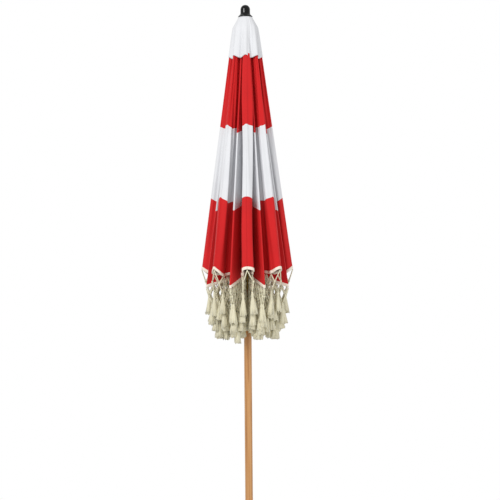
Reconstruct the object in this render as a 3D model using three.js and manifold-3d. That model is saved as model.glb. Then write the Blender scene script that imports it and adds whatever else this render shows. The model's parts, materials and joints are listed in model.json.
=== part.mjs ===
// Beach umbrella, closed: wooden pole, eight-rib folding frame, canopy folded between the ribs, fringe.
// Millimetres, +Z up. The origin is the middle of the pole's flat lower end.
import * as THREE from 'three';
import { mergeVertices } from 'three/addons/utils/BufferGeometryUtils.js';
import Module from 'manifold-3d';

const wasm = await Module();
wasm.setup();

// ---- driving dimensions ----
const RIBS = 8;
const POLE_R = 16;
const POLE_TOP = 2272;
const POLE_SPLIT = 1215;          // where the two halves of the pole meet, inside the ferrule
const GAP = 0.3;                  // clearance between pieces that touch
const CROWN_R = 22;               // rib hinges: distance from the axis
const CROWN_Z = 2284;             // and height
const RIB_CLOSED = 8 * Math.PI / 180;     // rib from vertical, umbrella shut
const RIB_OPEN = 70 * Math.PI / 180;      // umbrella up
const RIB_L = 1122;               // hinge to the end of the bar
const RIB_PIVOT = 470;            // hinge to the stretcher's rivet
const STRETCHER_L = 478;
const RUNNER_R = 24;              // stretcher hinges: distance from the axis
const BAR_T = 2.2;                // thickness of rib and stretcher strip
const BAR_D = 8;                  // depth of the strip
const CLOTH_OFF = 5;              // cloth above the rib's middle line
const HEM = 1150;                 // slant length of the canopy along a rib, from the open cone's tip
const CLOTH_TOP = 100;            // slant length at which the folded panels begin
const CLOTH_T = 1;
const GORE_R_TOP = 50;            // radius of the shut gore's outer fold at slant 40
const GORE_R_HEM = 190;           // and at the hem
const FRINGE_DROP = 225;
const FRINGE_T = 3;
const FRINGE_GAP = 2.5;           // below the sloping hem, so that the two solids stay apart
const FINIAL_TOP = 2350;
// Height at which the shut gore's outer fold line starts. At this height a half gore unfolds by turning
// alone, with no slide along its axis.
const GORE_TIP_Z = 2310.93;
const FOLD = {                    // the fold beside the pole, at the first slant of the cloth and at the hem
  top: new THREE.Vector3(25.5, 9, 2216),
  hem: new THREE.Vector3(36.5, 8.4, 1225),
};
const HUB = { r: 26, top: 2296, slot: 6 };
const FERRULE = { r: 18, below: 55, above: 55 };
const RUNNER_SLEEVE = 42;         // how far the runner reaches down from its hinges
const CATCH = { height: 16, width: 4, depth: 20 };
const PIN_WIRE_R = 1;             // wire rings that the eyes of ribs and stretchers turn on
const STUD_R = 5;
const SIDE = 1.4;                 // rib and stretcher lie side by side, each this far from the middle plane

// ---- the shut linkage ----
const pivotOut = CROWN_R + RIB_PIVOT * Math.sin(RIB_CLOSED) - RUNNER_R;
const STRETCHER_CLOSED = Math.asin(pivotOut / STRETCHER_L);
const RUNNER_Z = CROWN_Z - RIB_PIVOT * Math.cos(RIB_CLOSED) - STRETCHER_L * Math.cos(STRETCHER_CLOSED);
const pivotOutRaised = CROWN_R + RIB_PIVOT * Math.sin(RIB_OPEN) - RUNNER_R;
const RUNNER_Z_RAISED = CROWN_Z - RIB_PIVOT * Math.cos(RIB_OPEN)
  - Math.sqrt(STRETCHER_L ** 2 - pivotOutRaised ** 2);
const CATCH_Z = RUNNER_Z_RAISED - RUNNER_SLEEVE - GAP - CATCH.height / 2;
// Where the rib's line of cloth starts: the tip of the open cone, carried down with the rib.
const tipBack = (CROWN_R + CLOTH_OFF * Math.cos(RIB_OPEN)) / Math.sin(RIB_OPEN);
const CLOTH_TIP = {
  r: CROWN_R - tipBack * Math.sin(RIB_CLOSED) + CLOTH_OFF * Math.cos(RIB_CLOSED),
  z: CROWN_Z + tipBack * Math.cos(RIB_CLOSED) + CLOTH_OFF * Math.sin(RIB_CLOSED),
};

// ---- materials ----
const look = (color, roughness, metalness) => new THREE.MeshStandardMaterial({ color, roughness, metalness });
const WOOD = look(0xc99a62, 0.45, 0);
const STEEL = look(0xb9bcc0, 0.3, 1);
const BRASS = look(0xb08d4a, 0.35, 1);
const BLACK = look(0x0b0b0c, 0.2, 0);
const WHITE_CLOTH = look(0xe3e5e8, 0.9, 0);
const RED_CLOTH = look(0xc81e20, 0.9, 0);
const COTTON = look(0xd9d5b8, 0.95, 0);
const PLASTIC = look(0xe8e6df, 0.5, 0);

const umbrella = new THREE.Group();

// ---- helpers ----
// A geometry with position only and shared vertices, as one manifold solid.
function toSolid(geometry) {
  const g = geometry.clone();
  g.deleteAttribute('normal');
  g.deleteAttribute('uv');
  const merged = mergeVertices(g, 1e-4);
  return new wasm.Manifold(new wasm.Mesh({
    numProp: 3,
    vertProperties: new Float32Array(merged.attributes.position.array),
    triVerts: new Uint32Array(merged.index.array),
  }));
}

function fromSolid(solid) {
  const mesh = solid.getMesh();
  const g = new THREE.BufferGeometry();
  g.setAttribute('position', new THREE.BufferAttribute(mesh.vertProperties, 3));
  g.setIndex(new THREE.BufferAttribute(mesh.triVerts, 1));
  g.computeVertexNormals();
  return g;
}

function add(name, geometry, material, parent = umbrella) {
  const mesh = new THREE.Mesh(geometry, material);
  mesh.name = name;
  parent.add(mesh);
  return mesh;
}

// A turned piece about +Z from [radius, height] points.
function turned(points, segments = 32) {
  const g = new THREE.LatheGeometry(points.map(([r, z]) => new THREE.Vector2(r, z)), segments);
  return g.rotateX(Math.PI / 2);
}

// A closed ring section has to run the same way round as a solid of revolution's outline.
function turnedRing(points, segments = 32) {
  return turned([...points, points[0]], segments);
}

function block(w, d, h, x, y, z) {
  return new THREE.BoxGeometry(w, d, h).translate(x, y, z);
}

function tangentPin(r, length, x, z) {
  return new THREE.CylinderGeometry(r, r, length, 16).translate(x, 0, z);
}

// A solid plate between two outlines at the top and two at the bottom, all with the same number of points.
function foldedPlate(outerTop, innerTop, outerLow, innerLow) {
  const n = outerTop.length;
  const rings = [outerTop, innerTop, outerLow, innerLow];
  const at = (ring, i) => ring * n + i;
  const vertices = rings.flat().flatMap((p) => [p.x, p.y, p.z]);
  const faces = [];
  const quad = (a, b, c, d) => faces.push(a, b, c, a, c, d);
  for (let i = 0; i < n - 1; i++) {
    quad(at(0, i), at(2, i), at(2, i + 1), at(0, i + 1));      // outer face
    quad(at(1, i), at(1, i + 1), at(3, i + 1), at(3, i));      // inner face, split the same way
    quad(at(0, i + 1), at(1, i + 1), at(1, i), at(0, i));      // top edge
    quad(at(2, i), at(3, i), at(3, i + 1), at(2, i + 1));      // lower edge
  }
  quad(at(0, 0), at(1, 0), at(3, 0), at(2, 0));
  quad(at(2, n - 1), at(3, n - 1), at(1, n - 1), at(0, n - 1));
  const g = new THREE.BufferGeometry();
  g.setAttribute('position', new THREE.Float32BufferAttribute(vertices, 3));
  g.setIndex(faces);
  return g;
}

// Turns faces over if the solid came out inside out.
function facingOut(geometry) {
  const p = geometry.attributes.position;
  const index = geometry.index.array;
  let volume = 0;
  const v = [0, 1, 2].map(() => new THREE.Vector3());
  for (let i = 0; i < index.length; i += 3) {
    v.forEach((a, k) => a.fromBufferAttribute(p, index[i + k]));
    volume += v[0].dot(v[1].clone().cross(v[2]));
  }
  if (volume < 0) {
    for (let i = 0; i < index.length; i += 3) [index[i], index[i + 1]] = [index[i + 1], index[i]];
  }
  geometry.computeVertexNormals();
  return geometry;
}

const azimuth = (k) => (k * 2 * Math.PI) / RIBS;

// ---- pole ----
function makePole() {
  add('lower_pole', turned([
    [0, 0], [POLE_R - 2, 0], [POLE_R, 2], [POLE_R, POLE_SPLIT - GAP / 2], [0, POLE_SPLIT - GAP / 2],
  ]), WOOD);

  const shaft = toSolid(turned([
    [0, POLE_SPLIT + GAP / 2], [POLE_R, POLE_SPLIT + GAP / 2], [POLE_R, POLE_TOP],
    [STUD_R + GAP, POLE_TOP], [STUD_R + GAP, POLE_TOP - 34], [0, POLE_TOP - 34],
  ]));
  const pocket = toSolid(block(CATCH.depth, CATCH.width + 2 * GAP, CATCH.height + 2 * GAP,
    POLE_R - CATCH.depth / 2 + 2, 0, CATCH_Z));
  add('upper_pole', fromSolid(shaft.subtract(pocket)), WOOD);

  const low = POLE_SPLIT - FERRULE.below;
  const top = POLE_SPLIT + FERRULE.above;
  add('pole_ferrule', turnedRing([
    [POLE_R + GAP, low], [FERRULE.r, low], [FERRULE.r, top], [POLE_R + GAP, top],
  ]), BRASS);

  add('ferrule_screw', new THREE.CylinderGeometry(2.2, 3.4, 1.8, 16).rotateZ(-Math.PI / 2)
    .translate(FERRULE.r + GAP + 0.9, 0, low + 12), BRASS);
}

// ---- crown ----
function makeCrown() {
  const low = POLE_TOP + GAP;
  const ring = toSolid(turnedRing([
    [STUD_R + GAP, low], [24, low], [HUB.r, low + 4], [HUB.r, HUB.top - 3], [24, HUB.top], [STUD_R + GAP, HUB.top],
  ]));
  let hub = ring.subtract(toSolid(
    new THREE.TorusGeometry(CROWN_R, PIN_WIRE_R + GAP, 8, 48).translate(0, 0, CROWN_Z)));
  for (let k = 0; k < RIBS; k++) {
    const slot = block(20, HUB.slot, 60, CROWN_R - 5.5 + 10, 0, CROWN_Z);
    hub = hub.subtract(toSolid(slot.rotateZ(azimuth(k))));
  }
  add('crown_hub', fromSolid(hub), PLASTIC);
  add('crown_pin_ring', new THREE.TorusGeometry(CROWN_R, PIN_WIRE_R, 8, 48).translate(0, 0, CROWN_Z), STEEL);
  add('crown_stud', turned([
    [0, POLE_TOP - 33], [STUD_R, POLE_TOP - 33], [STUD_R, FINIAL_TOP - 25], [0, FINIAL_TOP - 25],
  ], 24), STEEL);
  add('crown_patch', turnedRing([
    [STUD_R + GAP, HUB.top + GAP], [29, HUB.top + GAP - 0.2], [29, HUB.top + 1.8], [STUD_R + GAP, HUB.top + 2],
  ]), WHITE_CLOTH);
  const base = HUB.top + 2.5;
  add('finial', turned([
    [0, FINIAL_TOP], [8, FINIAL_TOP - 1.3], [14, FINIAL_TOP - 5], [18.3, FINIAL_TOP - 11.5],
    [20, FINIAL_TOP - 20], [20, base + 15], [21.5, base + 11], [25.5, base + 7], [30.3, base + 4.5],
    [30.3, base], [STUD_R + GAP, base], [STUD_R + GAP, FINIAL_TOP - 24], [0, FINIAL_TOP - 24],
  ].reverse(), 40), BLACK);
}

// ---- runner ----
function makeRunner() {
  const inner = POLE_R + 0.6;
  let sleeve = toSolid(turnedRing([
    [inner, RUNNER_Z - RUNNER_SLEEVE], [20.5, RUNNER_Z - RUNNER_SLEEVE], [20.5, RUNNER_Z - 12], [27, RUNNER_Z - 6],
    [27, RUNNER_Z + 6], [inner, RUNNER_Z + 6],
  ]));
  sleeve = sleeve.subtract(toSolid(
    new THREE.TorusGeometry(RUNNER_R, PIN_WIRE_R + GAP, 8, 48).translate(0, 0, RUNNER_Z)));
  for (let k = 0; k < RIBS; k++) {
    sleeve = sleeve.subtract(toSolid(
      block(20, HUB.slot, 60, RUNNER_R - 5 + 10, 0, RUNNER_Z + 30 - 7).rotateZ(azimuth(k))));
  }
  add('runner', fromSolid(sleeve), PLASTIC);
  add('runner_pin_ring', new THREE.TorusGeometry(RUNNER_R, PIN_WIRE_R, 8, 48).translate(0, 0, RUNNER_Z), STEEL);
}

// The catch stands out of the pole under the raised runner and is pushed in to let it down.
function makeCatch() {
  const out = 5;
  const s = new THREE.Shape([
    new THREE.Vector2(POLE_R - 6, CATCH_Z - CATCH.height / 2),
    new THREE.Vector2(POLE_R, CATCH_Z - CATCH.height / 2),
    new THREE.Vector2(POLE_R + out, CATCH_Z + CATCH.height / 2 - 4),
    new THREE.Vector2(POLE_R + out, CATCH_Z + CATCH.height / 2),
    new THREE.Vector2(POLE_R - 6, CATCH_Z + CATCH.height / 2),
  ]);
  const g = new THREE.ExtrudeGeometry(s, { depth: CATCH.width, bevelEnabled: false, steps: 1 });
  g.rotateX(Math.PI / 2).translate(0, CATCH.width / 2, 0);
  add('runner_catch', g, STEEL);
}

// ---- folding frame ----
// A flat strip with a round eye at its foot, along +Z from the eye, in the plane y = side.
function strip(length, side, pivotAt, eyeR) {
  const bar = toSolid(block(BAR_D, BAR_T, length, 0, side, length / 2));
  const eye = toSolid(new THREE.CylinderGeometry(eyeR, eyeR, 2 * Math.abs(side) + BAR_T, 20));
  let solid = bar.add(eye);
  if (pivotAt) {
    solid = solid.add(toSolid(tangentPin(BAR_D / 2 + 0.8, BAR_T, 0, pivotAt).translate(0, side, 0)));
  }
  return solid.subtract(toSolid(tangentPin(PIN_WIRE_R + GAP, 12, 0, 0)));
}

function makeFrame(k) {
  const arm = new THREE.Group();
  arm.rotation.z = azimuth(k);
  umbrella.add(arm);

  const rib = add(`rib_${k + 1}`, fromSolid(strip(RIB_L, -SIDE, RIB_PIVOT, 4.4)), STEEL, arm);
  rib.position.set(CROWN_R, 0, CROWN_Z);
  rib.rotation.y = Math.PI - RIB_CLOSED;

  const tip = add(`rib_tip_${k + 1}`, turned([
    [0, RIB_L + GAP], [2.4, RIB_L + GAP], [2.6, RIB_L + 4], [1.6, RIB_L + 7], [0, RIB_L + 8],
  ], 16), PLASTIC, arm);
  tip.position.copy(rib.position);
  tip.rotation.y = rib.rotation.y;

  const stretcher = add(`stretcher_${k + 1}`, fromSolid(strip(STRETCHER_L, SIDE, STRETCHER_L, 4)), STEEL, arm);
  stretcher.position.set(RUNNER_R, 0, RUNNER_Z);
  stretcher.rotation.y = STRETCHER_CLOSED;
}

// ---- folded canopy ----
const half = Math.PI / RIBS;
// Length of the gore's centre line per unit of rib line, on the flat gore.
const GORE_LENGTH = Math.hypot(Math.sin(RIB_OPEN) * Math.cos(half), Math.cos(RIB_OPEN));
const ribDown = new THREE.Vector3(Math.sin(RIB_CLOSED), 0, -Math.cos(RIB_CLOSED));
const ribTipOfCone = new THREE.Vector3(CLOTH_TIP.r, 0, CLOTH_TIP.z);
const goreSlope = (GORE_R_HEM - GORE_R_TOP) / (GORE_LENGTH * (HEM - 40));
const goreTop = GORE_R_HEM - GORE_LENGTH * HEM * goreSlope;

const ribLine = (s) => ribTipOfCone.clone().addScaledVector(ribDown, s);
// The outer fold in the middle of the gore, moved off the middle plane by the given distance towards the rib.
function goreLine(s, off) {
  const r = goreTop + GORE_LENGTH * s * goreSlope;
  const z = GORE_TIP_Z - GORE_LENGTH * s * Math.sqrt(1 - goreSlope * goreSlope);
  return new THREE.Vector3(
    r * Math.cos(half) + off * Math.sin(half), r * Math.sin(half) - off * Math.cos(half), z);
}
// The inner fold runs almost straight down beside the pole.
function innerFold(s, outward) {
  const t = (s - CLOTH_TOP) / (HEM - CLOTH_TOP);
  const p = FOLD.top.clone().lerp(FOLD.hem, t);
  const aim = 13 * Math.PI / 180;
  return p.add(new THREE.Vector3(outward * Math.cos(aim), outward * Math.sin(aim), 0));
}

// One half gore: from the rib in to the inner fold and back out to the gore's middle.
function sectionOf(s, inset, thick, drop = 0) {
  const rib = ribLine(s);
  const outer = [
    new THREE.Vector3(rib.x, 3.2 + inset + thick, rib.z), innerFold(s, 4.2 + inset), goreLine(s, 0.3 + thick)];
  const inner = [
    new THREE.Vector3(rib.x, 3.2 + inset, rib.z), innerFold(s, inset), goreLine(s, 0.3)];
  [...outer, ...inner].forEach((p) => { p.z -= drop; });
  return { outer, inner };
}

function mirrored(points) {
  return points.map((p) => new THREE.Vector3(p.x, -p.y, p.z));
}

function makeCanopy(k) {
  const top = sectionOf(CLOTH_TOP, 0, CLOTH_T);
  const hem = sectionOf(HEM, 0, CLOTH_T);
  for (const [side, flip] of [['a', (p) => p], ['b', mirrored]]) {
    const g = foldedPlate(flip(top.outer), flip(top.inner), flip(hem.outer), flip(hem.inner));
    add(`canopy_panel_${k + 1}${side}`, facingOut(g).rotateZ(azimuth(k)), k % 2 ? RED_CLOTH : WHITE_CLOTH);
  }
}

// The fringe hangs from the hem of both half gores of a rib, and passes outside the rib's end.
function makeFringe(k) {
  const ends = [FRINGE_GAP, FRINGE_DROP].map((drop) => {
    const { outer, inner } = sectionOf(HEM, 0, FRINGE_T / 2, drop);
    const rib = ribLine(HEM);
    const ridge = (x) => new THREE.Vector3(rib.x + x, 0, rib.z - drop);
    return {
      outer: [...mirrored(outer).reverse(), ridge(FRINGE_T), ...outer],
      inner: [...mirrored(inner).reverse(), ridge(0), ...inner],
    };
  });
  const g = foldedPlate(ends[0].outer, ends[0].inner, ends[1].outer, ends[1].inner);
  add(`fringe_${k + 1}`, facingOut(g).rotateZ(azimuth(k)), COTTON);
}

makePole();
makeCrown();
makeRunner();
makeCatch();
for (let k = 0; k < RIBS; k++) {
  makeFrame(k);
  makeCanopy(k);
  makeFringe(k);
}

export default umbrella;
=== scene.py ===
# %% [markdown]
# # Beach umbrella, shut
# A wooden pole, a folding frame of eight ribs, a banded canvas canopy that hangs in folds, and a knotted
# cotton fringe with tassels. The frame is a finished model that is loaded; this script adds the cloth, the
# fringe, the turned pieces that show, and every material. Lengths are metres in Blender.

# %% Load the frame
import json
import math
import random
import bpy
import numpy as np
from mathutils import Matrix, Vector


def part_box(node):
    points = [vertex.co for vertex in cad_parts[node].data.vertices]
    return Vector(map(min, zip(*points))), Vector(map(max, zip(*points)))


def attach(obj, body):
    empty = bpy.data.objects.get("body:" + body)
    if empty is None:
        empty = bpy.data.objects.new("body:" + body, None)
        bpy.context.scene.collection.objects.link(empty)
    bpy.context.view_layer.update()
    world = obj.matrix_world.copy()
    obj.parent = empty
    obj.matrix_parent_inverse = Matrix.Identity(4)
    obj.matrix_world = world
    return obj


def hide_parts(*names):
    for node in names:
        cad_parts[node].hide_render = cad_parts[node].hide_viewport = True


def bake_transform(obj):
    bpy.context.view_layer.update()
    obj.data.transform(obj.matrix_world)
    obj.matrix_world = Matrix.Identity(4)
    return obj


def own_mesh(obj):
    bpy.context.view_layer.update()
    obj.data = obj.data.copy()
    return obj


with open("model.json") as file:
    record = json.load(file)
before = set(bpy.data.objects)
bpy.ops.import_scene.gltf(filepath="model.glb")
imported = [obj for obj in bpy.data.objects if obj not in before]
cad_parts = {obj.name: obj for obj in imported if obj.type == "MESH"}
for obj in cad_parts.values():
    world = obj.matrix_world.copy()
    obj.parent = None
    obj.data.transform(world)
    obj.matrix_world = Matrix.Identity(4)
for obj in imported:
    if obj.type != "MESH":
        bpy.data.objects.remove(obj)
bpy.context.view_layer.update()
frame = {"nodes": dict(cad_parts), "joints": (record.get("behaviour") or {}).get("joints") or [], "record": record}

scene = bpy.context.scene
MM = 0.001
RIBS = 8


def deselect():
    """Operators act on all that is selected, so each piece starts with nothing selected."""
    for o in bpy.context.selected_objects:
        o.select_set(False)


deselect()

# %% [markdown]
# ## Camera
# The umbrella is seen from the side at about chest height, from five metres, with a long lens. A gore's
# middle faces the camera, so two ribs stand either side of it.

# %% Camera
LENS_RATIO = 2.4                  # focal length over the width of the sensor
DISTANCE = 5.02
EYE_HEIGHT = 1.325
EYE_RIGHT = 0.012
LEAN = math.radians(0.45)         # a slight roll of the camera
TURN = math.radians(22.5)         # half the angle between two ribs


def make_camera():
    data = bpy.data.cameras.new("camera")
    data.lens = data.sensor_width * LENS_RATIO
    cam = bpy.data.objects.new("camera", data)
    scene.collection.objects.link(cam)
    turn = Matrix.Rotation(TURN, 4, "Z")
    cam.matrix_world = (
        turn @ Matrix.Translation((EYE_RIGHT, -DISTANCE, EYE_HEIGHT))
        @ Matrix.Rotation(math.pi / 2, 4, "X") @ Matrix.Rotation(-LEAN, 4, "Z")
    )
    scene.camera = cam


make_camera()

# %% [markdown]
# ## Light and floor
# Catalogue light: a dim surround that fills the shadows and looks white behind the object, one large soft
# key from the upper left and a weaker one on the right, so that each fold has a bright face and a dark one.

# %% Light and floor
SURROUND = 0.68                   # strength of the light from all sides
FLOOR_R = 1.25
FLOOR_DROP = 1 * MM               # keeps the pole's end off the floor's plane


def soft_light(name, place, size, power):
    data = bpy.data.lights.new(name, "AREA")
    data.shape = "DISK"
    data.size = size
    data.energy = power
    lamp = bpy.data.objects.new(name, data)
    scene.collection.objects.link(lamp)
    lamp.location = Matrix.Rotation(TURN, 3, "Z") @ Vector(place)
    aim = Vector((0, 0, 1.4)) - lamp.location
    lamp.rotation_euler = aim.to_track_quat("-Z", "Y").to_euler()


def make_stage():
    world = bpy.data.worlds.new("white surround")
    world.use_nodes = True
    tree = world.node_tree
    surround = tree.nodes["Background"]
    surround.inputs["Color"].default_value = (1, 1, 1, 1)
    surround.inputs["Strength"].default_value = SURROUND
    backdrop = tree.nodes.new("ShaderNodeBackground")
    backdrop.inputs["Color"].default_value = (1, 1, 1, 1)
    seen = tree.nodes.new("ShaderNodeLightPath")
    pick = tree.nodes.new("ShaderNodeMixShader")
    tree.links.new(seen.outputs["Is Camera Ray"], pick.inputs[0])
    tree.links.new(surround.outputs[0], pick.inputs[1])
    tree.links.new(backdrop.outputs[0], pick.inputs[2])
    tree.links.new(pick.outputs[0], tree.nodes["World Output"].inputs["Surface"])
    scene.world = world
    scene.view_settings.view_transform = "Standard"
    soft_light("key", (-2.2, -3.2, 3.4), size=1.4, power=86)
    soft_light("fill", (3.0, -2.6, 1.6), size=1.6, power=34)
    deselect()
    bpy.ops.mesh.primitive_circle_add(vertices=96, radius=FLOOR_R, fill_type="NGON", location=(0, 0, 0))
    floor = bpy.context.object
    floor.name = "floor"
    floor.location.z = -FLOOR_DROP
    return floor


floor = make_stage()

# %% [markdown]
# ## Materials
# Colours are written as sRGB hex and turned to linear by one function. One function adds a node with its
# settings and links, and the materials are built from it.

# %% Colour and node helpers


def hex_colour(text):
    parts = [int(text[i:i + 2], 16) / 255 for i in (1, 3, 5)]
    return tuple(c / 12.92 if c <= 0.04045 else ((c + 0.055) / 1.055) ** 2.4 for c in parts) + (1.0,)


def node(tree, kind, settings=None, **links):
    """Adds a node. settings are its properties; links are its inputs, as values or as (node, output)."""
    made = tree.nodes.new(kind)
    for key, value in (settings or {}).items():
        setattr(made, key, value)
    for key, value in links.items():
        by_number = key[0] == "i" and key[1:].isdigit()
        socket = made.inputs[int(key[1:]) if by_number else key.replace("_", " ")]
        if isinstance(value, tuple) and len(value) == 2 and hasattr(value[0], "outputs"):
            tree.links.new(value[0].outputs[value[1]], socket)
        else:
            socket.default_value = value
    return made


def new_material(name):
    """An empty material and its tree, with a Principled shader on the output."""
    material = bpy.data.materials.new(name)
    material.use_nodes = True
    tree = material.node_tree
    return material, tree, tree.nodes["Principled BSDF"]


def ramp(tree, source, stops, interpolation="LINEAR"):
    made = node(tree, "ShaderNodeValToRGB", Fac=source)
    band = made.color_ramp
    band.interpolation = interpolation
    while len(band.elements) < len(stops):
        band.elements.new(0.5)
    for element, (place, colour) in zip(band.elements, stops):
        element.position = place
        element.color = colour
    return made


def grey(v):
    return (v, v, v, 1)


# %% [markdown]
# ### Cotton canvas
# Plain-woven acrylic or cotton canvas, dyed in the yarn: matt, with a fine cross weave and a faint fuzz
# that lightens it at grazing angles. The four bands are cut across the gore, so they follow the cloth's own
# map: U runs across the half gore and V down its slant in metres. The threads are drawn at 2.4 mm, about
# four times their real 0.6 mm, so that the weave shows.

# %% Cotton canvas
HEM = 1150 * MM                   # slant from the tip of the cone to the hem
BAND_EDGES = (0.157, 0.441, 0.72)  # as shares of the slant
THREAD = 2.4 * MM
STITCH_PITCH = 7 * MM
STITCH_FROM_SEAM = 6 * MM
STITCH_WIDTH = 0.9 * MM           # to each side of the row
WAVE_LENGTH = 0.314               # a wave texture of scale 1 repeats once in these metres


def canvas(name, red_low, red_high, white_low, white_high):
    material, tree, shader = new_material(name)
    uv = node(tree, "ShaderNodeUVMap", {"uv_map": "cloth"})
    xy = node(tree, "ShaderNodeSeparateXYZ", Vector=(uv, 0))
    slant = node(tree, "ShaderNodeMath", {"operation": "DIVIDE"}, i0=(xy, 1), i1=HEM)
    a, b, c = BAND_EDGES
    band = ramp(tree, (slant, 0), [(0, grey(0)), (a, grey(1)), (b, grey(0)), (c, grey(1))], "CONSTANT")
    coords = node(tree, "ShaderNodeTexCoord")
    fade = node(tree, "ShaderNodeTexNoise", Vector=(coords, "Object"), Scale=9.0, Detail=3.0)
    red, white = (
        node(
            tree, "ShaderNodeMix", {"data_type": "RGBA"},
            i0=(fade, 0), i6=hex_colour(low), i7=hex_colour(high))
        for low, high in ((red_low, red_high), (white_low, white_high)))
    dyed = node(tree, "ShaderNodeMix", {"data_type": "RGBA"}, i0=(band, 0), i6=(white, 2), i7=(red, 2))
    warp, weft = (
        node(
            tree, "ShaderNodeTexWave", {"bands_direction": way}, Vector=(uv, 0), Scale=WAVE_LENGTH / THREAD)
        for way in "XY")
    weave = node(tree, "ShaderNodeMath", {"operation": "MULTIPLY"}, i0=(warp, 1), i1=(weft, 1))
    shade = ramp(tree, (weave, 0), [(0, grey(0.86)), (1, grey(1))])
    cloth = node(
        tree, "ShaderNodeMix", {"data_type": "RGBA", "blend_type": "MULTIPLY"},
        i0=0.8, i6=(dyed, 2), i7=(shade, 0))
    # a darkened row of stitches beside each rib
    row = node(
        tree, "ShaderNodeMath", {"operation": "COMPARE"}, i0=(xy, 0), i1=STITCH_FROM_SEAM, i2=STITCH_WIDTH)
    along = node(
        tree, "ShaderNodeTexWave", {"bands_direction": "Y"}, Vector=(uv, 0), Scale=WAVE_LENGTH / STITCH_PITCH)
    gaps = node(tree, "ShaderNodeMath", {"operation": "GREATER_THAN"}, i0=(along, 1), i1=0.25)
    stitch = node(tree, "ShaderNodeMath", {"operation": "MULTIPLY"}, i0=(row, 0), i1=(gaps, 0))
    sewn = node(
        tree, "ShaderNodeMix", {"data_type": "RGBA", "blend_type": "MULTIPLY"}, i0=(stitch, 0), i6=(cloth, 2),
        i7=grey(0.6))
    height = node(tree, "ShaderNodeMath", {"operation": "SUBTRACT"}, i0=(weave, 0), i1=(stitch, 0))
    bump = node(tree, "ShaderNodeBump", Strength=0.22, Distance=0.0006, Height=(height, 0))
    tree.links.new(sewn.outputs[2], shader.inputs["Base Color"])
    tree.links.new(bump.outputs[0], shader.inputs["Normal"])
    shader.inputs["Roughness"].default_value = 0.82
    shader.inputs["Sheen Weight"].default_value = 0.03
    shader.inputs["Sheen Roughness"].default_value = 0.5
    return material


def tape():
    """Cotton binding tape: cream, ribbed across."""
    material, tree, shader = new_material("cotton binding tape")
    uv = node(tree, "ShaderNodeUVMap", {"uv_map": "cloth"})
    rib = node(
        tree, "ShaderNodeTexWave", {"bands_direction": "X"}, Vector=(uv, 0), Scale=WAVE_LENGTH / THREAD)
    colour = ramp(tree, (rib, 1), [(0, hex_colour("#EBDDC9")), (1, hex_colour("#FAF2E6"))])
    bump = node(tree, "ShaderNodeBump", Strength=0.4, Distance=0.0006, Height=(rib, 1))
    tree.links.new(colour.outputs[0], shader.inputs["Base Color"])
    tree.links.new(bump.outputs[0], shader.inputs["Normal"])
    shader.inputs["Roughness"].default_value = 0.9
    return material


CANVAS = canvas("woven cotton canvas, dyed bands", "#C40309", "#DC070C", "#DFE0E3", "#EBECEF")
# the inner face: the same banded canvas made darker and browner, painted shade and the tint of light seen through
# the red cloth
SHADED_REVERSE = canvas("reverse of the dyed canvas", "#9A4A42", "#B05E54", "#C4B7AB", "#D6CABF")
TAPE = tape()

# %% [markdown]
# ### Natural cotton cord
# Unbleached three-ply cotton: matt, warm, with fibres running down it. The tassels are the same yarn, cut
# and combed out. Its colour runs in streaks along the strands from pale to straw-brown: partly the yarn's own
# uneven tone, and the straw-brown end is painted shade between strands.

# %% Natural cotton cord


def cotton():
    material, tree, shader = new_material("natural cotton yarn")
    uv = node(tree, "ShaderNodeUVMap", {"uv_map": "yarn"})
    stretch = node(tree, "ShaderNodeMapping", Vector=(uv, 0), Scale=(60, 3, 1))
    strands = node(tree, "ShaderNodeTexNoise", Vector=(stretch, 0), Scale=1.0, Detail=2.0)
    # the straw-brown first stop is painted shade between strands; the paler stops are the yarn's own uneven tone
    colour = ramp(tree, (strands, 0), [
        (0.30, hex_colour("#CDBA8C")), (0.48, hex_colour("#E0DBBF")), (0.75, hex_colour("#F0EDDA"))])
    bump = node(tree, "ShaderNodeBump", Strength=0.7, Distance=0.0015, Height=(strands, 0))
    tree.links.new(colour.outputs[0], shader.inputs["Base Color"])
    tree.links.new(bump.outputs[0], shader.inputs["Normal"])
    shader.inputs["Roughness"].default_value = 0.95
    shader.inputs["Sheen Weight"].default_value = 0.15
    return material


COTTON = cotton()

# %% [markdown]
# ### Varnished wood
# A straight-grained pale hardwood dowel under satin varnish. The grain is long and narrow: noise that is
# stretched forty times along the pole, with finer dark pores in it.

# %% Varnished wood


def varnished_wood():
    material, tree, shader = new_material("varnished hardwood")
    coords = node(tree, "ShaderNodeTexCoord")
    grain_map = node(tree, "ShaderNodeMapping", Vector=(coords, "Object"), Scale=(1, 1, 0.025))
    grain = node(tree, "ShaderNodeTexNoise", Vector=(grain_map, 0), Scale=150.0, Detail=6.0, Distortion=0.6)
    tone_map = node(tree, "ShaderNodeMapping", Vector=(coords, "Object"), Scale=(1, 1, 0.1))
    tone = node(tree, "ShaderNodeTexNoise", Vector=(tone_map, 0), Scale=14.0, Detail=2.0)
    base = ramp(tree, (grain, 0), [
        (0.25, hex_colour("#A06A36")), (0.5, hex_colour("#C9945A")), (0.8, hex_colour("#D8AA74"))])
    warm = ramp(tree, (tone, 0), [(0.3, hex_colour("#E8D8C4")), (0.7, hex_colour("#FFFFFF"))])
    wood = node(
        tree, "ShaderNodeMix", {"data_type": "RGBA", "blend_type": "MULTIPLY"},
        i0=0.6, i6=(base, 0), i7=(warm, 0))
    rough = ramp(tree, (grain, 0), [(0.2, grey(0.48)), (0.8, grey(0.36))])
    bump = node(tree, "ShaderNodeBump", Strength=0.12, Distance=0.0004, Height=(grain, 0))
    tree.links.new(wood.outputs[2], shader.inputs["Base Color"])
    tree.links.new(rough.outputs[0], shader.inputs["Roughness"])
    tree.links.new(bump.outputs[0], shader.inputs["Normal"])
    shader.inputs["Coat Weight"].default_value = 0.25
    shader.inputs["Coat Roughness"].default_value = 0.25
    return material


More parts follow.
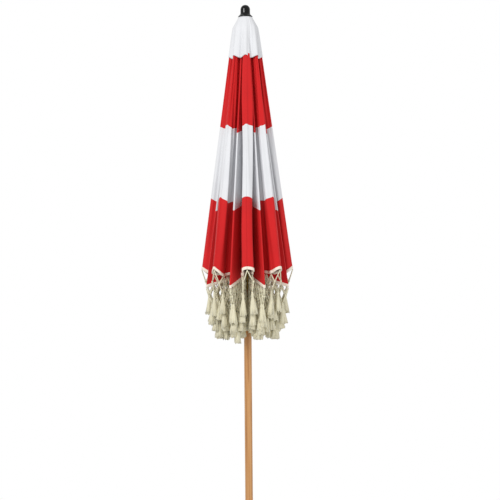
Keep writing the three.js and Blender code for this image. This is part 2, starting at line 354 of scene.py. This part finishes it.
def speckled(name, dark, light, rough_low, rough_high, metallic=0.0, scale=900.0, depth=0.0001):
    """A moulded or plated surface: a little mottling in colour, and fine unevenness in the gloss."""
    material, tree, shader = new_material(name)
    coords = node(tree, "ShaderNodeTexCoord")
    fine = node(tree, "ShaderNodeTexNoise", Vector=(coords, "Object"), Scale=scale, Detail=4.0)
    broad = node(tree, "ShaderNodeTexNoise", Vector=(coords, "Object"), Scale=scale / 12, Detail=2.0)
    colour = ramp(tree, (broad, 0), [(0.3, hex_colour(dark)), (0.7, hex_colour(light))])
    rough = ramp(tree, (broad, 0), [(0.3, grey(rough_low)), (0.7, grey(rough_high))])
    bump = node(tree, "ShaderNodeBump", Strength=0.15, Distance=depth, Height=(fine, 0))
    tree.links.new(colour.outputs[0], shader.inputs["Base Color"])
    tree.links.new(rough.outputs[0], shader.inputs["Roughness"])
    tree.links.new(bump.outputs[0], shader.inputs["Normal"])
    shader.inputs["Metallic"].default_value = metallic
    return material


WOOD = varnished_wood()
BLACK = speckled("gloss black moulded ABS", "#020203", "#060607", 0.1, 0.18)
BLACK.node_tree.nodes["Principled BSDF"].inputs["Specular IOR Level"].default_value = 0.3
NYLON = speckled("white moulded nylon", "#DAD7CE", "#E8E6DF", 0.42, 0.55)
STEEL = speckled("zinc-plated steel", "#8F9398", "#B4B8BC", 0.28, 0.42, metallic=1.0)
BRASS = speckled("lacquered brass", "#9C7B3C", "#B8954F", 0.22, 0.36, metallic=1.0)
FLOOR_PAINT = speckled("pale matt floor", "#EDEDED", "#F4F4F4", 0.8, 0.9, scale=60.0)
floor.data.materials.append(FLOOR_PAINT)

# %% [markdown]
# ## The cloth's two shapes
# On the open umbrella a gore is flat between two ribs. Shut, each half gore runs from its rib in towards the
# pole, turns, and comes back out to the gore's middle. Both shapes are one sheet: the part beside the gore's
# middle keeps its shape and swings on a hinge line of the frame, and the part beside the rib bends between
# the rib and that swinging part. So the shut shape is found by turning the flat one back, each point by the
# share of the turn that leaves it between two planes beside the rib: three and eight and a half
# millimetres from it.

# %% The cloth's two shapes
RIB_OPEN = math.radians(70)
CLOTH_OFF = 5 * MM
FLAT_STRIP = 3.0 * MM             # half width of the cloth that stays flat on the rib
BEND_END = 8.5 * MM               # from here out the cloth moves with the unfolding half gore
TOP_SLANT = 59 * MM
joints = {j["name"]: j for j in frame["joints"]}


def turned_by(axis, angle, points):
    """Points turned about an axis through the origin, each by its own angle."""
    angle = np.asarray(angle)[..., None]
    cross = np.cross(np.broadcast_to(axis, points.shape), points)
    along = (points @ axis)[..., None] * axis
    return points * np.cos(angle) + cross * np.sin(angle) + along * (1 - np.cos(angle))


def down(angle):
    return np.array([math.sin(angle), 0.0, -math.cos(angle)])


rib_joint = joints["rib_1_hinge"]
unfold_joint = joints["panel_1a_unfold"]
HINGE = np.array(rib_joint["pos_m"])
RIB_TURN = math.radians(rib_joint["range_deg"][1])
UNFOLD = math.radians(unfold_joint["range_deg"][1])
UNFOLD_AXIS = np.array(unfold_joint["axis"]) / np.linalg.norm(unfold_joint["axis"])
UNFOLD_AT = np.array(unfold_joint["pos_m"])
HALF = math.pi / RIBS

# the tip of the open cone, and the open directions of the rib line and of the gore's middle line
tip_back = -(HINGE[0] + CLOTH_OFF * math.cos(RIB_OPEN)) / math.sin(RIB_OPEN)
open_tip = (
    HINGE + tip_back * down(RIB_OPEN) + CLOTH_OFF * np.array([math.cos(RIB_OPEN), 0, math.sin(RIB_OPEN)]))
open_gore = np.array([
    math.sin(RIB_OPEN) * math.cos(HALF) ** 2,
    math.sin(RIB_OPEN) * math.cos(HALF) * math.sin(HALF),
    -math.cos(RIB_OPEN),
])
TANGENT = np.array([0.0, -1.0, 0.0])


def with_rib_down(v):
    return turned_by(TANGENT, -RIB_TURN, np.asarray(v, float))


TIP = HINGE + with_rib_down(open_tip - HINGE)
RIB_LINE = with_rib_down(down(RIB_OPEN))
GORE_LINE = with_rib_down(open_gore)


def swung_back(points, angle):
    return UNFOLD_AT + turned_by(UNFOLD_AXIS, -np.asarray(angle), points - UNFOLD_AT)


def share_at(w):
    """The fraction of the way across at which the smooth step has the value w."""
    return 0.5 - np.sin(np.arcsin(1 - 2 * w) / 3)


def shut_points(slant, across):
    """Shut places of cloth points. slant is metres from the tip, across is 0 at the rib, 1 at the middle."""
    flat = TIP + slant[..., None] * ((1 - across[..., None]) * RIB_LINE + across[..., None] * GORE_LINE)
    low, high = np.zeros(across.shape), np.ones(across.shape)
    for _ in range(40):
        mid = (low + high) / 2
        limit = FLAT_STRIP + (BEND_END - FLAT_STRIP) * share_at(mid)
        beyond = swung_back(flat, UNFOLD * mid)[..., 1] > limit
        low, high = np.where(beyond, mid, low), np.where(beyond, high, mid)
    turn = np.where(flat[..., 1] <= FLAT_STRIP, 0.0, (low + high) / 2)
    whole = swung_back(flat, UNFOLD * np.ones(across.shape))
    moving = whole[..., 1] >= BEND_END
    return np.where(moving[..., None], whole, swung_back(flat, UNFOLD * turn)), moving, turn


print("rib turns", round(math.degrees(RIB_TURN), 2), "and the cloth", round(math.degrees(UNFOLD), 2))

# %% [markdown]
# ## Fullness
# A turned-back flat sheet is too crisp. Cloth in a loose fold swells towards the gap beside it and comes
# round in a nose at the outer edge. The swelling is given to the part that keeps its shape, so it never
# tears, and its size differs from fold to fold, as do the long shallow pulls that run down from the cap.

# %% Fullness
GORE_TOP = shut_points(np.array([0.1]), np.array([1.0]))[0][0]
GORE_HEM = shut_points(np.array([HEM]), np.array([1.0]))[0][0]
FOLD_HEM = shut_points(np.array([HEM]), np.array([0.75]))[0][0]
gap_side = np.cross(GORE_HEM - GORE_TOP, FOLD_HEM - GORE_HEM)
gap_side /= np.linalg.norm(gap_side)
if gap_side[1] > 0:
    gap_side = -gap_side
NOSE = 0.20                       # share of the leaf's width in which the nose comes round
SWELL = 0.105                     # thickness of half a fold, as a share of its distance from the pole
DROOP = 22 * MM                   # how much lower a fold's cheeks hang than its outer edge
DROOP_PEAK = 0.3                  # where across the leaf it hangs lowest
PULL = 6.8 * MM                   # height of the pulls
LEAF_SHARE, LEAF_GAP = 0.93, 18 * MM  # a leaf is this share of the way out to its edge, less this
CORE = 12 * MM                    # no swelling this close to the pole's axis


def fold_character(number):
    """Seeded differences between folds."""
    r = random.Random(100 + number)
    return {
        "swell": r.uniform(0.45, 1.75),
        "droop": r.uniform(0.6, 1.3),
        "phase": [r.uniform(0, 6.28) for _ in range(6)],
        "pull": [r.uniform(0.5, 1.0) for _ in range(6)],
    }


def full_cloth(slant, across, number):
    """Shut cloth with its fullness, for the half gore on the first rib's positive side."""
    points, moving, turn = shut_points(slant, across)
    c = fold_character(number)
    middle, _, _ = shut_points(slant, np.ones(across.shape))
    away = np.linalg.norm(points - middle, axis=-1)
    out = np.hypot(middle[..., 0], middle[..., 1])
    width = np.maximum(out * LEAF_SHARE - LEAF_GAP, 1e-3)
    t = np.clip(away / width, 0, 1)
    nose = np.sqrt(np.clip(1 - (1 - np.minimum(t / NOSE, 1)) ** 2, 0, 1))
    body = np.clip(1 - np.maximum(t - NOSE, 0) / (1 - NOSE), 0, 1) ** 1.2
    down_share = slant / HEM
    breathe = (
        1 + 0.16 * np.sin(5.1 * down_share + c["phase"][0])
        + 0.08 * np.sin(11 * down_share + c["phase"][1]))
    swell = SWELL * c["swell"] * np.maximum(out - CORE, 0) * nose * body * breathe
    pulls = (
        c["pull"][0] * np.sin(11 * t + 3.0 * down_share + c["phase"][2])
        + 0.8 * c["pull"][1] * np.sin(19 * t - 4.0 * down_share + c["phase"][3])
        + 0.5 * c["pull"][2] * np.sin(31 * t + 6.0 * down_share + c["phase"][4])
    )
    swell = swell + PULL * pulls * nose * body * np.clip(down_share * 3.0, 0, 1)
    droop = (
        DROOP * c["droop"] * down_share * np.sin(math.pi / 2 * np.minimum(t / DROOP_PEAK, 1))
        * (1 - np.clip(t - DROOP_PEAK, 0, 1) / (1 - DROOP_PEAK)) ** 2)
    points = points + np.where(moving, swell, 0)[..., None] * gap_side
    points[..., 2] -= np.where(moving, droop, 0)
    return points, turn, moving


def onto_rib(points, k, side):
    """Places the first rib's half gore at rib k, on its positive or negative side."""
    p = np.array(points, float)
    if side == "b":
        p[..., 1] *= -1
    a = k * 2 * math.pi / RIBS
    x = p[..., 0] * math.cos(a) - p[..., 1] * math.sin(a)
    y = p[..., 0] * math.sin(a) + p[..., 1] * math.cos(a)
    return np.stack([x, y, p[..., 2]], axis=-1)


def grid_mesh(name, points, uv, flip, uv_name, material):
    rows, columns = points.shape[:2]
    faces = []
    for i in range(rows - 1):
        for j in range(columns - 1):
            a, b = i * columns + j, i * columns + j + 1
            c, d = b + columns, a + columns
            faces.append((a, b, c, d) if flip else (a, d, c, b))
    mesh = bpy.data.meshes.new(name)
    mesh.from_pydata(points.reshape(-1, 3).tolist(), [], faces)
    layer = mesh.uv_layers.new(name=uv_name)
    flat_uv = uv.reshape(-1, 2)
    corners = np.empty(len(mesh.loops), np.int32)
    mesh.loops.foreach_get("vertex_index", corners)
    layer.data.foreach_set("uv", flat_uv[corners].ravel())
    mesh.materials.append(material)
    # the canvas's inner face gets its darker copy with painted shade
    if material == CANVAS:
        mesh.materials.append(SHADED_REVERSE)
    mesh.shade_smooth()
    made = bpy.data.objects.new(name, mesh)
    scene.collection.objects.link(made)
    return made


def thicken(piece, thickness, offset=0.0):
    made = piece.modifiers.new("thickness", "SOLIDIFY")
    made.thickness = thickness
    made.offset = offset
    made.material_offset = len(piece.data.materials) - 1
    deselect()
    bpy.context.view_layer.objects.active = piece
    piece.select_set(True)
    bpy.ops.object.modifier_apply(modifier=made.name)


def bend_with_frame(piece, k, side):
    """Bakes the piece's placement into its mesh. The ends of a bend beside the rib are worked out but not used;
    the piece is not bent.
    """
    start, end = (onto_rib(HINGE * [1, 0, 1] + [0, y, 0], k, side) for y in (FLAT_STRIP, BEND_END))
    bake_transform(piece)


# %% Canopy
# thinner than real canvas, because both faces of the cloth have to make nearly the same turn beside a rib
CLOTH_T = 0.16 * MM
ROWS, COLUMNS = 72, 90
HALF_WIDTH = float(np.linalg.norm(GORE_LINE - RIB_LINE))


def across_places():
    """Closer together at the rib, in the turn beside the pole and in the nose, where the cloth bends."""
    t = np.linspace(0, 1, COLUMNS)
    s = t - 0.10 * np.sin(2 * math.pi * t) / (2 * math.pi)
    beside_rib = [0, 0.004, 0.008, 0.012, 0.02]
    beside_middle = 1 - 0.0015 * np.array([1, 3, 8])
    return np.unique(np.concatenate([beside_rib, s[1:], beside_middle]))


def half_gore(k, side):
    number = 2 * k + (side == "b")
    slant = np.linspace(TOP_SLANT, HEM, ROWS)
    s, v = np.meshgrid(slant, across_places(), indexing="ij")
    points, _, _ = full_cloth(s, v, number)
    uv = np.stack([s * v * HALF_WIDTH, s], axis=-1)
    cloth = grid_mesh(f"canopy_{k + 1}{side}", onto_rib(points, k, side), uv, side == "b", "cloth", CANVAS)
    thicken(cloth, CLOTH_T)
    bend_with_frame(cloth, k, side)
    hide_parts(f"canopy_panel_{k + 1}{side}")
    return cloth


canopy = {(k, side): half_gore(k, side) for k in range(RIBS) for side in "ab"}

# %% [markdown]
# ## Thick pieces on the hem
# Beside a rib the cloth makes its whole turn within a few millimetres, so anything thick on it would be
# pulled apart when it opens. Tape and fringe are cut in groups along the hem instead. For each group the
# radii between which it would make the shares of the turn that the hem has at its ends are worked out, but
# the piece is not bent: it is baked in place, and the last group is attached to its half gore's panel.

# %% Hem places
def hem_places(number, across):
    """Shut places of the hem, and the share of the cloth's turn at each, at the given fractions across."""
    v = np.asarray(across, float)
    points, turn, moving = full_cloth(np.full(v.shape, HEM), v, number)
    return points, np.where(moving, 1.0, turn)


TURN_SHARES = (0.0, 0.12, 0.35, 0.7, 1.0)
BEND_HEIGHT = 1.2                 # any height would do, because the bend runs along the radius


def column_groups(number):
    """Cuts the half gore's hem where the cloth has made these shares of its turn. The last group is rigid."""
    v = np.linspace(0, 1, 401)
    points, turn = hem_places(number, v)
    bounds = []
    for share in TURN_SHARES[1:]:
        bounds.append(int(np.argmax(turn >= share - 1e-6)))
    edges = [0] + bounds
    groups = []
    for i, j in zip(edges[:-1], edges[1:]):
        groups.append({
            "v": (v[i], v[j]), "x": (points[i, 0], points[j, 0]), "turn": (float(turn[i]), float(turn[j])),
        })
    groups.append({"v": (v[edges[-1]], 1.001), "x": None, "turn": (1.0, 1.0)})
    return groups


print("groups of columns", [round(g["v"][0], 3) for g in column_groups(0)])


def bend_along_radius(piece, k, side, group):
    """Works out the radii between which the piece would make the same share of the turn as the hem at its ends,
    but does not bend it: it is baked in place. The last, rigid group is attached to its panel's body.
    """
    if group["x"] is None:
        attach(piece, f"panel_{k + 1}{side}")
        return
    (x1, x2), (t1, t2) = group["x"], [float(share_at(t)) for t in group["turn"]]
    scale = (x2 - x1) / (t2 - t1)
    ends = (x1 - t1 * scale, x1 + (1 - t1) * scale)
    start, end = (onto_rib(np.array([x, 0, BEND_HEIGHT]), k, side) for x in ends)
    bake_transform(piece)


# %% [markdown]
# ## Binding tape
# The hem is bound with a folded cotton tape. It is the same surface as the last twelve millimetres of the
# cloth, made thick, so it follows every fold.

# %% Binding tape
TAPE_W = 12 * MM
TAPE_T = 3.4 * MM


def hem_tape(k, side):
    number = 2 * k + (side == "b")
    made = []
    for i, group in enumerate(column_groups(number)):
        first, last = group["v"][0], min(group["v"][1], 1.0)
        inside = [v for v in across_places() if first < v < last]
        s, v = np.meshgrid(np.linspace(HEM - TAPE_W, HEM + 0.001, 4), [first, *inside, last], indexing="ij")
        points, _, _ = full_cloth(s, v, number)
        uv = np.stack([s * v * HALF_WIDTH, s], axis=-1)
        name = f"hem_tape_{k + 1}{side}_{i + 1}"
        piece = grid_mesh(name, onto_rib(points, k, side), uv, side == "b", "cloth", TAPE)
        thicken(piece, TAPE_T)
        bend_along_radius(piece, k, side, group)
        made.append(piece)
    return made


tapes = {key: hem_tape(*key) for key in canopy}

# %% [markdown]
# ## Knotted fringe
# A net of cotton cord is knotted on to the hem, and tassels of the same cord hang from it. The net is a
# lattice of diamonds, one column every 34 mm of hem, worked in scallops six columns wide: each row is one
# knot shorter than the row above, and tassels hang from the knots at its ends and along its bottom. Every
# column hangs straight down from its own place on the folded hem.
#
# Cords are tubes swept along their path, and a tassel is a tube with a narrow neck and a fluted, ragged
# skirt.

# %% Fringe pieces
HALF_COLUMNS = 12
SCALLOP = 6
NET_ROWS = 4
ROW_DROP = 36 * MM
CORD_R = 2.1 * MM
KNOT_R = 4.2 * MM
NET_TOP = 4 * MM                  # how far under the hem the net starts
CORD_SAG = 1.6 * MM
TASSEL = 86 * MM
TASSEL_SIDES = 22
TASSEL_LEAN = 6 * MM
TASSEL_RAGGED = 5 * MM            # how unevenly the skirt is cut
SKIRT_FROM = 0.2                  # share of the length where the neck ends
TASSEL_PROFILE = [  # share of the length down, radius in mm
    (0, 2.2), (0.05, 4.6), (0.14, 5.6), (0.2, 4.0), (0.24, 5.4), (0.42, 8.6), (0.7, 11.6), (1.0, 14.2),
]


class Strands:
    """Collects swept tubes in one mesh, with a map that runs round and along each strand."""

    def __init__(self):
        self.points, self.faces, self.uv = [], [], []

    def sweep(self, path, radii, sides, twist=None):
        """A tube along path. radii has one number for each ring, or one for each point of each ring."""
        path = np.asarray(path, float)
        first = len(self.points)
        tangent = path[-1] - path[0]
        tangent /= np.linalg.norm(tangent)
        across = np.cross(tangent, [0.31, 0.95, 0.05])
        across /= np.linalg.norm(across)
        other = np.cross(tangent, across)
        run = 0.0
        for i, centre in enumerate(path):
            run += float(np.linalg.norm(centre - path[i - 1])) if i else 0.0
            for j in range(sides):
                a = 2 * math.pi * j / sides
                r = radii[i][j] if hasattr(radii[i], "__len__") else radii[i]
                self.points.append(centre + r * (across * math.cos(a) + other * math.sin(a)))
                self.uv.append((j / sides, run))
        for i in range(len(path) - 1):
            for j in range(sides):
                a, b = first + i * sides + j, first + i * sides + (j + 1) % sides
                self.faces.append((a, b, b + sides, a + sides))
        self.faces.append(tuple(first + j for j in reversed(range(sides))))
        last = first + (len(path) - 1) * sides
        self.faces.append(tuple(last + j for j in range(sides)))

    def cord(self, a, b):
        a, b = np.asarray(a), np.asarray(b)
        middle = (a + b) / 2 - [0, 0, CORD_SAG]
        self.sweep([a, middle, b], [CORD_R, CORD_R * 1.12, CORD_R], 6)

    def knot(self, at):
        at = np.asarray(at)
        rise = np.array([0, 0, 1.0])
        steps = [1.2, 0.6, 0, -0.6, -1.2]
        widths = (0.45, 0.9, 1.0, 0.9, 0.45)
        self.sweep([at + rise * KNOT_R * t for t in steps], [KNOT_R * w for w in widths], 7)

    def tassel(self, top, number):
        r = random.Random(900 + number)
        length = TASSEL * r.uniform(0.82, 1.1)
        lean = np.array([r.uniform(-1, 1), r.uniform(-1, 1), 0]) * TASSEL_LEAN
        sides = TASSEL_SIDES
        flutes = [r.uniform(0.76, 1.2) for _ in range(sides)]
        ends = [r.uniform(-1, 1) * TASSEL_RAGGED for _ in range(sides)]
        path = [np.asarray(top) + [0, 0, -length * t] + lean * t ** 2 for t, _ in TASSEL_PROFILE]
        radii = []
        for t, w in TASSEL_PROFILE:
            depth = max(0.0, (t - SKIRT_FROM) / (1 - SKIRT_FROM))
            radii.append([w * MM * (1 + (f - 1) * depth * 1.5) for f in flutes])
        first = len(self.points)
        self.sweep(path, radii, sides)
        for j in range(sides):
            self.points[first + (len(path) - 1) * sides + j] += np.array([0, 0, ends[j]])

    def mesh(self, name, material):
        mesh = bpy.data.meshes.new(name)
        mesh.from_pydata([tuple(p) for p in self.points], [], self.faces)
        layer = mesh.uv_layers.new(name="yarn")
        corners = np.empty(len(mesh.loops), np.int32)
        mesh.loops.foreach_get("vertex_index", corners)
        layer.data.foreach_set("uv", np.array(self.uv)[corners].ravel())
        mesh.materials.append(material)
        mesh.shade_smooth()
        made = bpy.data.objects.new(name, mesh)
        scene.collection.objects.link(made)
        return made


# %% Half a rib's share of the fringe
def half_fringe(k, side):
    number = 2 * k + (side == "b")
    groups = column_groups(number)
    strands = [Strands() for _ in groups]

    def holder(v):
        return strands[next(i for i, g in enumerate(groups) if v < g["v"][1] or i == len(groups) - 1)]

    def place(column, row):
        v = column / HALF_COLUMNS
        point = hem_places(number, [v])[0][0]
        return v, point - [0, 0, NET_TOP + ROW_DROP * row]

    for first in range(0, HALF_COLUMNS, SCALLOP):
        for row in range(NET_ROWS):
            upper = [first + row / 2 + i for i in range(SCALLOP + 1 - row)]
            places = {c: place(c, row) for c in upper}
            for c in upper[:-1]:
                v, low = place(c + 0.5, row + 1)
                group = holder(v)
                group.cord(places[c][1], low)
                group.cord(places[c + 1][1], low)
                group.knot(low)
                ends = c in (upper[0], upper[-2])
                if row == NET_ROWS - 1 or (ends and row in (1, 2)):
                    group.tassel(low, 1000 * number + int(20 * c) + row)
    made = []
    for i, (group, strand) in enumerate(zip(groups, strands)):
        if not strand.points:
            continue
        strand.points = list(onto_rib(np.array(strand.points), k, side))
        if side == "b":
            strand.faces = [tuple(reversed(f)) for f in strand.faces]
        piece = strand.mesh(f"fringe_{k + 1}{side}_{i + 1}", COTTON)
        bend_along_radius(piece, k, side, group)
        made.append(piece)
    return made


fringes = {key: half_fringe(*key) for key in canopy}
for k in range(RIBS):
    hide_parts(f"fringe_{k + 1}")
print("fringe pieces", sum(len(f) for f in fringes.values()))

# %% [markdown]
# ## Turned pieces
# The pole and the knob at the top were turned on a lathe. Each starts as a disc of 64 sides, and its top
# face is pushed up and resized ring by ring, as a turner works along a profile. Short edges between rings
# keep the corners crisp under smooth shading.

# %% Turned pieces
def turned_piece(name, rings, material, sides=64):
    """rings are (radius, height) from the bottom up. The first and last are closed with flat faces."""
    deselect()
    (r0, z0), rest = rings[0], rings[1:]
    bpy.ops.mesh.primitive_circle_add(vertices=sides, radius=r0, fill_type="NGON", location=(0, 0, z0))
    piece = bpy.context.object
    piece.name = name
    bpy.ops.object.mode_set(mode="EDIT")
    bpy.ops.mesh.select_mode(type="FACE")
    bpy.ops.mesh.select_all(action="SELECT")
    r = r0
    z = z0
    for r1, z1 in rest:
        bpy.ops.mesh.extrude_region_move(TRANSFORM_OT_translate={"value": (0, 0, z1 - z)})
        bpy.ops.transform.resize(value=(r1 / r, r1 / r, 1), center_override=(0, 0, z1))
        r, z = r1, z1
    bpy.ops.mesh.select_all(action="SELECT")
    bpy.ops.mesh.normals_make_consistent(inside=False)
    bpy.ops.object.mode_set(mode="OBJECT")
    bpy.ops.object.transform_apply(location=True, rotation=True, scale=True)
    bpy.ops.object.shade_smooth_by_angle(angle=math.radians(40))
    piece.data.materials.append(material)
    return piece


pole_low, pole_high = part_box("lower_pole")
POLE_R = (pole_high[0] - pole_low[0]) / 2
pole = turned_piece("turned_lower_pole", [
    (POLE_R - 2.4 * MM, 0.0), (POLE_R - 1.2 * MM, 0.6 * MM), (POLE_R - 0.2 * MM, 1.8 * MM), (POLE_R, 3 * MM),
    (POLE_R, 0.3), (POLE_R, 0.6), (POLE_R, 0.9), (POLE_R, pole_high[2] - 0.3 * MM),
    (POLE_R - 0.4 * MM, pole_high[2]),
], WOOD)
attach(pole, "pole")
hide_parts("lower_pole")

knob_low, knob_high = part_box("finial")
Z0, Z1 = knob_low[2], knob_high[2]
RIM = (knob_high[0] - knob_low[0]) / 2
KNOB_R = 20 * MM
DOME = 20.5 * MM                  # height of the round top
DOME_STEPS = 12
knob_rings = [
    (RIM - 1.2 * MM, Z0), (RIM - 0.3 * MM, Z0 + 0.6 * MM), (RIM, Z0 + 1.8 * MM),
    (RIM - 0.4 * MM, Z0 + 3.4 * MM), (RIM - 1.6 * MM, Z0 + 4.6 * MM), (26.2 * MM, Z0 + 6.8 * MM),
    (23.2 * MM, Z0 + 9.4 * MM), (21.2 * MM, Z0 + 12.2 * MM), (20.3 * MM, Z0 + 15.2 * MM),
    (KNOB_R, Z0 + 19 * MM), (KNOB_R, Z1 - DOME),
]
for i in range(1, DOME_STEPS):
    a = i * math.pi / 2 / DOME_STEPS
    knob_rings.append((KNOB_R * math.cos(a) ** 0.9, Z1 - DOME + DOME * math.sin(a)))
knob_rings.append((0.8 * MM, Z1))
knob = turned_piece("turned_knob", knob_rings, BLACK)
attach(knob, "pole")
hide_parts("finial")

# %% [markdown]
# ## Cap over the gathered top
# At the top the folds are drawn together under the knob, and the cloth there reads as one pleated cone down
# to the first red band. It is made as a cap: a cylinder's wall is cut into rings, and each point is set on
# a cone that is fullest over the gores and dips over the ribs, with small seeded pleats between.

# %% Cap over the gathered top
CAP_PROFILE = [  # in mm: height, radius over a gore's middle, dip over a rib
    (2298, 29.0, 0.0), (2292, 32.0, 0.5), (2280, 38.5, 1.5), (2266, 46.5, 2.5), (2254, 53.2, 4.0),
    (2230, 57.6, 6.5), (2200, 61.9, 10.5), (2170, 66.2, 13.5), (2132, 71.4, 15.0),
]
CAP_SIDES = 192
CAP_RINGS = 30
CAP_TOP_SLANT = 12 * MM           # where the cap's top edge is on the cloth's map
CAP_LOBE = 11 * MM                # how much lower the edge hangs over a rib
CAP_MEAN_R = 0.055                # turns an angle round the cap into metres of cloth
CAP_T = 0.8 * MM


def make_cap():
    deselect()
    high, low = CAP_PROFILE[0][0] * MM, CAP_PROFILE[-1][0] * MM
    bpy.ops.mesh.primitive_cylinder_add(
        vertices=CAP_SIDES, radius=0.05, depth=high - low, end_fill_type="NOTHING",
        location=(0, 0, (high + low) / 2), calc_uvs=False)
    cap = bpy.context.object
    cap.name = "pleated_cap"
    bpy.ops.object.transform_apply(location=True, rotation=True, scale=True)
    bpy.ops.object.mode_set(mode="EDIT")
    for i in range(1, CAP_RINGS):
        bpy.ops.mesh.select_all(action="SELECT")
        bpy.ops.mesh.bisect(plane_co=(0, 0, low + (high - low) * i / CAP_RINGS), plane_no=(0, 0, 1))
    bpy.ops.object.mode_set(mode="OBJECT")
    heights, radii, dips = (np.array(c)[::-1] * MM for c in zip(*CAP_PROFILE))
    r = random.Random(41)
    waves = [(n, r.uniform(0, 6.28), r.uniform(0.4, 1.0)) for n in (11, 17, 23, 31, 40)]
    layer = cap.data.uv_layers.new(name="cloth")
    for loop in cap.data.loops:
        v = cap.data.vertices[loop.vertex_index].co
        angle = math.atan2(v.y, v.x)
        layer.data[loop.index].uv = (angle * CAP_MEAN_R, CAP_TOP_SLANT + (high - v.z))
    for v in cap.data.vertices:
        angle = math.atan2(v.co.y, v.co.x)
        share = (high - v.co.z) / (high - low)
        over_rib = (0.5 + 0.5 * math.cos(RIBS * angle)) ** 0.8
        pleat = sum(a * math.sin(n * angle + p) for n, p, a in waves) * 0.8 * MM * (0.35 + share)
        full, dip = (float(np.interp(v.co.z, heights, values)) for values in (radii, dips))
        radius = full - over_rib * dip + pleat * over_rib
        z = v.co.z - share ** 4 * CAP_LOBE * over_rib
        v.co = (radius * math.cos(angle), radius * math.sin(angle), z)
    cap.data.materials.append(CANVAS)
    # the cap's inner face gets the canvas copy with painted shade
    cap.data.materials.append(SHADED_REVERSE)
    cap.data.shade_smooth()
    return cap


cap = make_cap()
thicken(cap, CAP_T)
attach(cap, "pole")
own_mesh(cap)
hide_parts("crown_patch")

# %% [markdown]
# ## Finishes of the frame's own pieces
# The loaded pieces keep their shape and get a finish by what they are.

# %% Finishes of the frame's own pieces
FINISH = {
    "pole_wood": WOOD, "brass": BRASS, "white_plastic": NYLON, "steel": STEEL, "black_plastic": BLACK,
    "white_cloth": TAPE, "striped_cloth": CANVAS, "cotton_cord": COTTON,
}
for part in frame["record"]["subparts"]:
    mesh = frame["nodes"][part["node"]].data
    mesh.materials.clear()
    mesh.materials.append(FINISH[part["material_slot"]])
